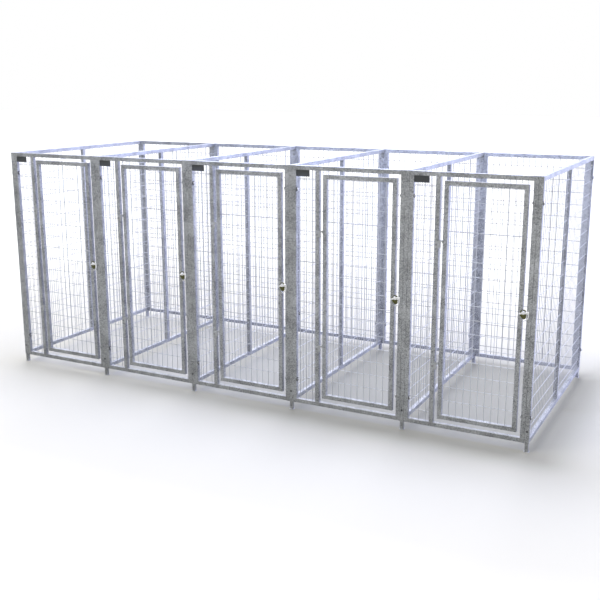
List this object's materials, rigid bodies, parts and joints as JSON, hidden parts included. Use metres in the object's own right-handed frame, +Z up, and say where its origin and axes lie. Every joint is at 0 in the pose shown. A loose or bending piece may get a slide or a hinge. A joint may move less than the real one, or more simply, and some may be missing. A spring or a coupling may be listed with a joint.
{
  "type": "dog kennel",
  "caption": "Row of adjoining welded-mesh kennel runs on short legs, each with a hinged mesh door, a narrow side light and a lift latch; open top and no floor.",
  "frame": {"origin": "on the floor, under the middle of the square frame", "axes": "+X along the front from the first run to the last, +Y from the doors to the back, +Z up"},
  "size_m": [4.6246, 1.8516, 1.8948],
  "materials": {
    "galvanised_tube": "hot-dip galvanised, satin with a faint spangle",
    "galvanised_wire": "galvanised welded wire, satin",
    "galvanised_fitting": "galvanised, satin",
    "bright_zinc": "bright zinc plated",
    "latch_steel": "plated, dulled on its faces and bright along its worn edges",
    "dark_steel": "black zinc, satin",
    "dark_plate": "dark satin enamel, blank"
  },
  "bodies": {
    "kennel": {"front_frame_1": "galvanised_tube", "back_frame_1": "galvanised_tube", "front_frame_2": "galvanised_tube", "back_frame_2": "galvanised_tube", "front_frame_3": "galvanised_tube", "back_frame_3": "galvanised_tube", "front_frame_4": "galvanised_tube", "back_frame_4": "galvanised_tube", "front_frame_5": "galvanised_tube", "back_frame_5": "galvanised_tube", "side_frame_1": "galvanised_tube", "side_frame_2": "galvanised_tube", "side_frame_3": "galvanised_tube", "side_frame_4": "galvanised_tube", "side_frame_5": "galvanised_tube", "side_frame_6": "galvanised_tube", "side_light_meshes": "galvanised_wire", "back_meshes": "galvanised_wire", "side_meshes": "galvanised_wire", "blank_plates": "dark_plate", "hinge_brackets": "galvanised_fitting", "hinge_pins": "bright_zinc", "hinge_bolts": "bright_zinc", "latch_studs": "bright_zinc", "panel_bolts": "bright_zinc", "nuts": "bright_zinc", "washers": "dark_steel", "legs": "galvanised_tube", "foot_plates": "galvanised_fitting", "leg_bolts": "dark_steel"},
    "door_1": {"door_frame_1": "galvanised_tube", "door_mesh_1": "galvanised_wire", "door_knuckles_1": "galvanised_fitting", "latch_base_1": "dark_steel", "latch_pivot_1": "bright_zinc"},
    "latch_1": {"latch_lever_1": "latch_steel"},
    "door_2": {"door_frame_2": "galvanised_tube", "door_mesh_2": "galvanised_wire", "door_knuckles_2": "galvanised_fitting", "latch_base_2": "dark_steel", "latch_pivot_2": "bright_zinc"},
    "latch_2": {"latch_lever_2": "latch_steel"},
    "door_3": {"door_frame_3": "galvanised_tube", "door_mesh_3": "galvanised_wire", "door_knuckles_3": "galvanised_fitting", "latch_base_3": "dark_steel", "latch_pivot_3": "bright_zinc"},
    "latch_3": {"latch_lever_3": "latch_steel"},
    "door_4": {"door_frame_4": "galvanised_tube", "door_mesh_4": "galvanised_wire", "door_knuckles_4": "galvanised_fitting", "latch_base_4": "dark_steel", "latch_pivot_4": "bright_zinc"},
    "latch_4": {"latch_lever_4": "latch_steel"},
    "door_5": {"door_frame_5": "galvanised_tube", "door_mesh_5": "galvanised_wire", "door_knuckles_5": "galvanised_fitting", "latch_base_5": "dark_steel", "latch_pivot_5": "bright_zinc"},
    "latch_5": {"latch_lever_5": "latch_steel"}
  },
  "joints": [
    {"name": "door_1_hinge", "type": "hinge", "parent": "kennel", "child": "door_1", "pos_m": [-2.03947, -0.9174, 0.965], "axis": [0, 0, -1], "range_deg": [0, 170]},
    {"name": "latch_1_lift", "type": "hinge", "parent": "door_1", "child": "latch_1", "pos_m": [-1.4406, -0.9224, 0.986], "axis": [0, -1, 0], "range_deg": [0, 80]},
    {"name": "door_2_hinge", "type": "hinge", "parent": "kennel", "child": "door_2", "pos_m": [-1.12508, -0.9174, 0.965], "axis": [0, 0, -1], "range_deg": [0, 170]},
    {"name": "latch_2_lift", "type": "hinge", "parent": "door_2", "child": "latch_2", "pos_m": [-0.5262, -0.9224, 0.986], "axis": [0, -1, 0], "range_deg": [0, 80]},
    {"name": "door_3_hinge", "type": "hinge", "parent": "kennel", "child": "door_3", "pos_m": [-0.21068, -0.9174, 0.965], "axis": [0, 0, -1], "range_deg": [0, 170]},
    {"name": "latch_3_lift", "type": "hinge", "parent": "door_3", "child": "latch_3", "pos_m": [0.3882, -0.9224, 0.986], "axis": [0, -1, 0], "range_deg": [0, 80]},
    {"name": "door_4_hinge", "type": "hinge", "parent": "kennel", "child": "door_4", "pos_m": [0.70373, -0.9174, 0.965], "axis": [0, 0, -1], "range_deg": [0, 170]},
    {"name": "latch_4_lift", "type": "hinge", "parent": "door_4", "child": "latch_4", "pos_m": [1.3026, -0.9224, 0.986], "axis": [0, -1, 0], "range_deg": [0, 80]},
    {"name": "door_5_hinge", "type": "hinge", "parent": "kennel", "child": "door_5", "pos_m": [1.61813, -0.9174, 0.965], "axis": [0, 0, -1], "range_deg": [0, 170]},
    {"name": "latch_5_lift", "type": "hinge", "parent": "door_5", "child": "latch_5", "pos_m": [2.217, -0.9224, 0.986], "axis": [0, -1, 0], "range_deg": [0, 80]}
  ]
}
